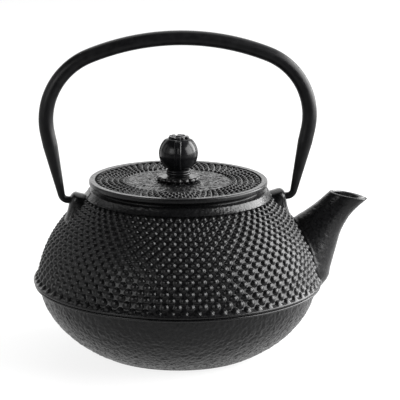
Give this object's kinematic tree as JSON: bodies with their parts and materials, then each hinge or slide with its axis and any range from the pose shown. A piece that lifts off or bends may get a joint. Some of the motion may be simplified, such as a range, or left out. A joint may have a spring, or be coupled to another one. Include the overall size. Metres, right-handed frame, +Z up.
{
  "type": "teapot",
  "caption": "Round cast iron teapot with a studded shoulder, short curved spout, ball knob lid, swinging bail handle and lift-out mesh infuser.",
  "frame": {"origin": "on the pot's axis, at the centre of its flat base", "axes": "+Z up along the pot's axis, +X towards the spout; the bail swings about a line along X"},
  "size_m": [0.1927, 0.166, 0.1847],
  "materials": {
    "cast_iron": "matt black cast iron with a studded shoulder and a fine sand-cast grain",
    "cast_iron_lid": "matt black cast iron, slightly greyer on the raised lines",
    "bail_black": "satin black",
    "knob_black": "gloss black enamel",
    "steel": "polished stainless sheet",
    "steel_mesh": "fine woven stainless mesh"
  },
  "bodies": {
    "pot": {"pot_body": "cast_iron"},
    "bail": {"bail": "bail_black"},
    "infuser": {"infuser_rim": "steel", "infuser_sleeve": "steel_mesh", "infuser_base_band": "steel", "infuser_base_mesh": "steel_mesh"},
    "lid": {"lid": "cast_iron_lid", "knob_seat": "cast_iron_lid", "knob": "knob_black", "knob_washer": "steel", "knob_screw": "steel"}
  },
  "joints": [
    {"name": "bail_swing", "type": "hinge", "parent": "pot", "child": "bail", "pos_m": [0, 0, 0.0884], "axis": [1, 0, 0], "range_deg": [-112, 112]},
    {"name": "infuser_lift", "type": "slide", "parent": "pot", "child": "infuser", "axis": [0, 0, 1], "range_m": [0, 0.0375]},
    {"name": "lid_lift", "type": "slide", "parent": "infuser", "child": "lid", "axis": [0, 0, 1], "range_m": [0, 0.012]}
  ]
}
